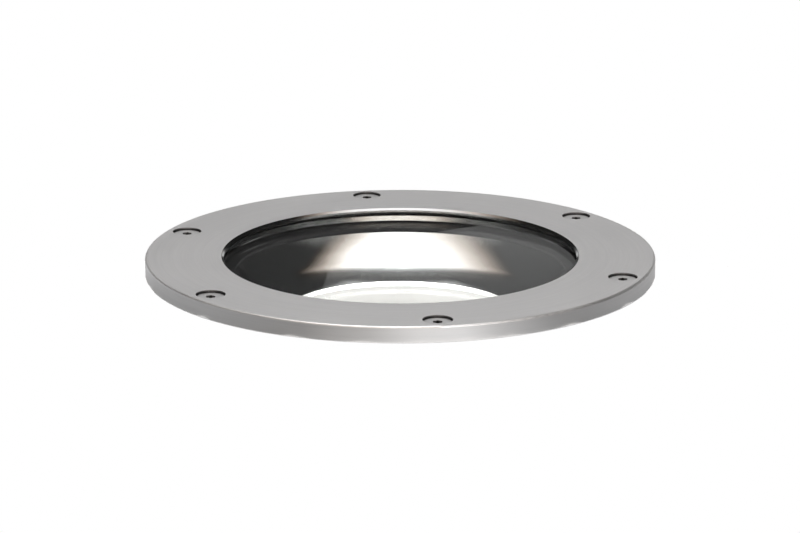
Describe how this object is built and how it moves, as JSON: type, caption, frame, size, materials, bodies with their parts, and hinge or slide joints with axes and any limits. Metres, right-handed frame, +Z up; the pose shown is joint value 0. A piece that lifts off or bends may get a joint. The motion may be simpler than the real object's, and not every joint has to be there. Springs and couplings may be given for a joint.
{
  "type": "recessed ground light",
  "caption": "Round recessed uplight: brushed ring with countersunk screws, clear glass over a polished bowl reflector, finned LED housing in a buried sleeve.",
  "frame": {"origin": "centre of the trim ring's underside, on the paving surface", "axes": "+Z up along the light's own axis; +X towards the open conduit socket; -Y towards the breather plug"},
  "size_m": [0.306, 0.29, 0.2213],
  "materials": {
    "brushed_stainless": "fine circular brushing, satin",
    "stainless_fasteners": "machined, satin",
    "stainless_sheet": "rolled sheet",
    "clear_glass": "clear toughened glass",
    "black_rubber": "matt silicone",
    "cast_aluminium": "die cast, dark powder coat",
    "plain_aluminium": "milled",
    "polished_aluminium": "spun and polished",
    "opal_acrylic": "opal, satin",
    "white_plastic": "moulded",
    "led_lens": "clear over yellow phosphor",
    "circuit": "coated board with parts",
    "grey_plastic": "moulded",
    "orange_plastic": "moulded",
    "nickel_brass": "nickel plated",
    "brass": "turned",
    "tinned_copper": "tinned",
    "black_plastic": "fibre filled, moulded",
    "membrane": "porous film",
    "red_wire": "insulation",
    "black_wire": "insulation",
    "brown_wire": "insulation",
    "blue_wire": "insulation",
    "green_wire": "insulation, green and yellow"
  },
  "bodies": {
    "root": {"installation_housing": "black_plastic", "sleeve_base": "black_plastic", "conduit_socket_right": "black_plastic", "conduit_socket_left": "black_plastic", "flange_inserts": "brass", "flange_gasket": "black_rubber", "drain_grate": "stainless_sheet"},
    "luminaire": {"luminaire_housing": "cast_aluminium", "cover_seal": "black_rubber", "flange_screws": "stainless_fasteners", "reflector_collar": "polished_aluminium", "collar_screws": "stainless_fasteners", "upper_reflector": "polished_aluminium", "lower_reflector": "polished_aluminium", "diffuser": "opal_acrylic", "diffuser_frame": "white_plastic", "frame_screws": "stainless_fasteners", "led_board": "white_plastic", "board_screws": "stainless_fasteners", "leds": "led_lens", "led_connector": "white_plastic", "heat_spreader": "plain_aluminium", "spreader_screws": "stainless_fasteners", "driver_case": "plain_aluminium", "driver_lid": "plain_aluminium", "driver_circuit": "circuit", "driver_screws": "stainless_fasteners", "terminal_block": "grey_plastic", "block_screws": "stainless_fasteners", "lever_pin": "stainless_fasteners", "led_lead_minus": "black_wire", "led_lead_plus": "red_wire", "mains_lead_neutral": "blue_wire", "mains_lead_live": "brown_wire", "earth_lead": "green_wire", "earth_lug": "tinned_copper", "earth_washer": "stainless_fasteners", "earth_screw": "stainless_fasteners", "gland_washer_right": "black_rubber", "gland_body_right": "nickel_brass", "gland_seal_right": "black_rubber", "gland_washer_left": "black_rubber", "gland_body_left": "nickel_brass", "gland_seal_left": "black_rubber", "vent_washer": "black_rubber", "vent_plug": "black_plastic", "vent_membrane": "membrane"},
    "cover": {"trim_ring": "brushed_stainless", "safety_glass": "clear_glass", "glass_gasket": "black_rubber", "glass_retainer": "stainless_sheet", "retainer_screws": "stainless_fasteners"},
    "ring_screws": {"ring_screws": "stainless_fasteners"},
    "gland_nut_right": {"gland_nut_right": "nickel_brass"},
    "gland_nut_left": {"gland_nut_left": "nickel_brass"},
    "lever_earth": {"lever_earth": "orange_plastic"},
    "lever_neutral": {"lever_neutral": "orange_plastic"},
    "lever_live": {"lever_live": "orange_plastic"},
    "conduit_plug": {"conduit_plug": "black_plastic"}
  },
  "joints": [
    {"name": "luminaire_lift", "type": "slide", "parent": "root", "child": "luminaire", "axis": [0, 0, 1], "range_m": [0, 0.065]},
    {"name": "cover_lift", "type": "slide", "parent": "luminaire", "child": "cover", "axis": [0, 0, 1], "range_m": [0, 0.03]},
    {"name": "ring_screws_out", "type": "slide", "parent": "cover", "child": "ring_screws", "axis": [0, 0, 1], "range_m": [0, 0.022]},
    {"name": "gland_nut_right_turn", "type": "hinge", "parent": "luminaire", "child": "gland_nut_right", "pos_m": [0.1, 0, -0.095], "axis": [1, 0, 0], "range_deg": [0, 720]},
    {"name": "gland_nut_left_turn", "type": "hinge", "parent": "luminaire", "child": "gland_nut_left", "pos_m": [-0.1, 0, -0.095], "axis": [-1, 0, 0], "range_deg": [0, 720]},
    {"name": "lever_earth_open", "type": "hinge", "parent": "luminaire", "child": "lever_earth", "pos_m": [-0.013, -0.037, -0.099], "axis": [-1, 0, 0], "range_deg": [0, 85]},
    {"name": "lever_neutral_open", "type": "hinge", "parent": "luminaire", "child": "lever_neutral", "pos_m": [0, -0.037, -0.099], "axis": [-1, 0, 0], "range_deg": [0, 85]},
    {"name": "lever_live_open", "type": "hinge", "parent": "luminaire", "child": "lever_live", "pos_m": [0.013, -0.037, -0.099], "axis": [-1, 0, 0], "range_deg": [0, 85]},
    {"name": "conduit_plug_out", "type": "slide", "parent": "root", "child": "conduit_plug", "axis": [-1, 0, 0], "range_m": [0, 0.02]}
  ]
}
